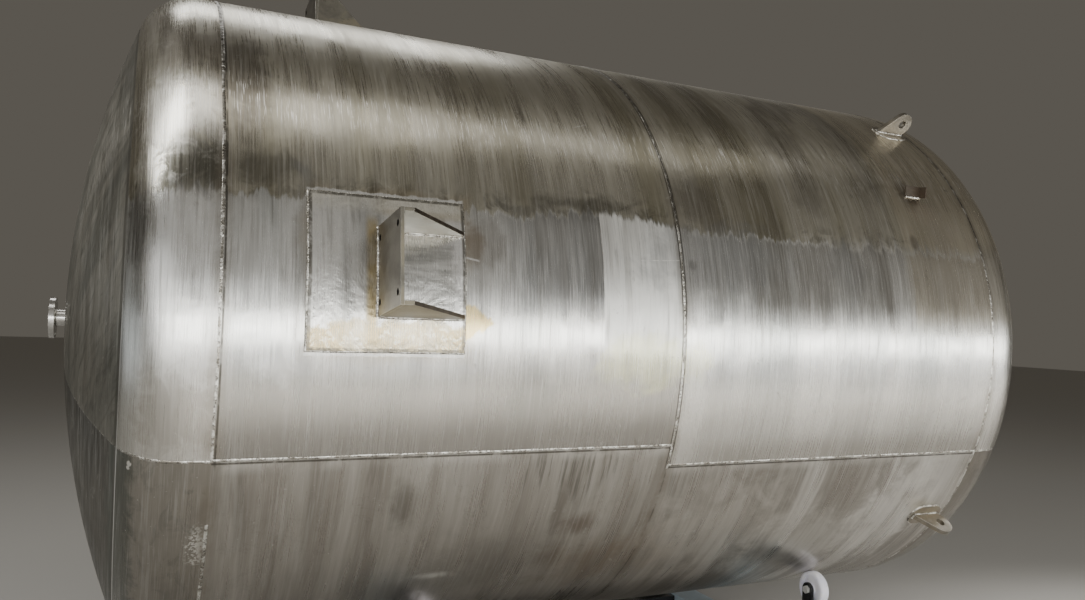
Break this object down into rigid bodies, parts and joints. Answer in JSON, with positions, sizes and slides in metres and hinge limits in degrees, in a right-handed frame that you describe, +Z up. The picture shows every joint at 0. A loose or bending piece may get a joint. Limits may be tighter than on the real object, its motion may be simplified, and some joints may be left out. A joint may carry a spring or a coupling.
{
  "type": "horizontal pressure tank on turning rolls",
  "caption": "Large welded stainless steel pressure tank with dished ends, support brackets, lifting lugs and end nozzles, lying on a low stand with rolls.",
  "frame": {"origin": "on the floor under the middle of the tank", "axes": "+X along the tank to the right-hand end, +Y away from the side with the front bracket, +Z up"},
  "size_m": [3.9666, 2.8972, 2.9486],
  "materials": {
    "shell": "brushed and pickled stainless plate",
    "heads": "ground and pickled stainless plate",
    "pads": "stainless plate with heat tint",
    "brackets": "mill finish stainless plate",
    "lugs": "mill finish stainless plate",
    "nozzles": "machined stainless",
    "beams": "light blue paint, worn",
    "forks": "black paint",
    "axles": "zinc plated",
    "rolls": "cast nylon, slightly marked"
  },
  "bodies": {
    "stand": {"left_cross_beam": "beams", "right_cross_beam": "beams", "side_ties": "forks", "fork_left_front": "forks", "fork_left_back": "forks", "fork_right_front": "forks", "fork_right_back": "forks", "left_axles": "axles", "right_axles": "axles"},
    "tank": {"left_head_upper": "heads", "left_head_lower": "heads", "left_course_upper": "shell", "left_course_lower": "shell", "right_course_upper": "shell", "right_course_lower": "shell", "right_head_upper": "heads", "right_head_lower": "heads", "pad_front": "pads", "pad_top": "pads", "pad_back": "pads", "pad_bottom": "pads", "bearing_plate_front": "brackets", "bearing_plate_top": "brackets", "bearing_plate_back": "brackets", "bearing_plate_bottom": "brackets", "gussets_front": "brackets", "gussets_top": "brackets", "gussets_back": "brackets", "gussets_bottom": "brackets", "lug_upper_front": "lugs", "lug_upper_back": "lugs", "lug_lower_back": "lugs", "lug_lower_front": "lugs", "lug_doublers": "lugs", "side_clip": "lugs", "left_nozzle_pipe": "nozzles", "left_nozzle_flange": "nozzles", "right_nozzle_pipe": "nozzles", "right_nozzle_flange": "nozzles"},
    "roll_left_front_body": {"roll_left_front": "rolls"},
    "roll_left_back_body": {"roll_left_back": "rolls"},
    "roll_right_front_body": {"roll_right_front": "rolls"},
    "roll_right_back_body": {"roll_right_back": "rolls"}
  },
  "joints": [
    {"name": "tank_turn", "type": "hinge", "parent": "stand", "child": "tank", "pos_m": [0, 0, 1.5], "axis": [1, 0, 0], "continuous": true},
    {"name": "roll_left_front_spin", "type": "hinge", "parent": "stand", "child": "roll_left_front_body", "pos_m": [-0.719, -0.66064, 0.40915], "axis": [1, 0, 0], "continuous": true},
    {"name": "roll_left_back_spin", "type": "hinge", "parent": "stand", "child": "roll_left_back_body", "pos_m": [-0.719, 0.66064, 0.40915], "axis": [1, 0, 0], "continuous": true},
    {"name": "roll_right_front_spin", "type": "hinge", "parent": "stand", "child": "roll_right_front_body", "pos_m": [1.071, -0.66064, 0.40915], "axis": [1, 0, 0], "continuous": true},
    {"name": "roll_right_back_spin", "type": "hinge", "parent": "stand", "child": "roll_right_back_body", "pos_m": [1.071, 0.66064, 0.40915], "axis": [1, 0, 0], "continuous": true}
  ],
  "couplings": [
    {"joint": "roll_left_front_spin", "follows": "tank_turn", "ratio": -16},
    {"joint": "roll_left_back_spin", "follows": "tank_turn", "ratio": -16},
    {"joint": "roll_right_front_spin", "follows": "tank_turn", "ratio": -16},
    {"joint": "roll_right_back_spin", "follows": "tank_turn", "ratio": -16}
  ]
}
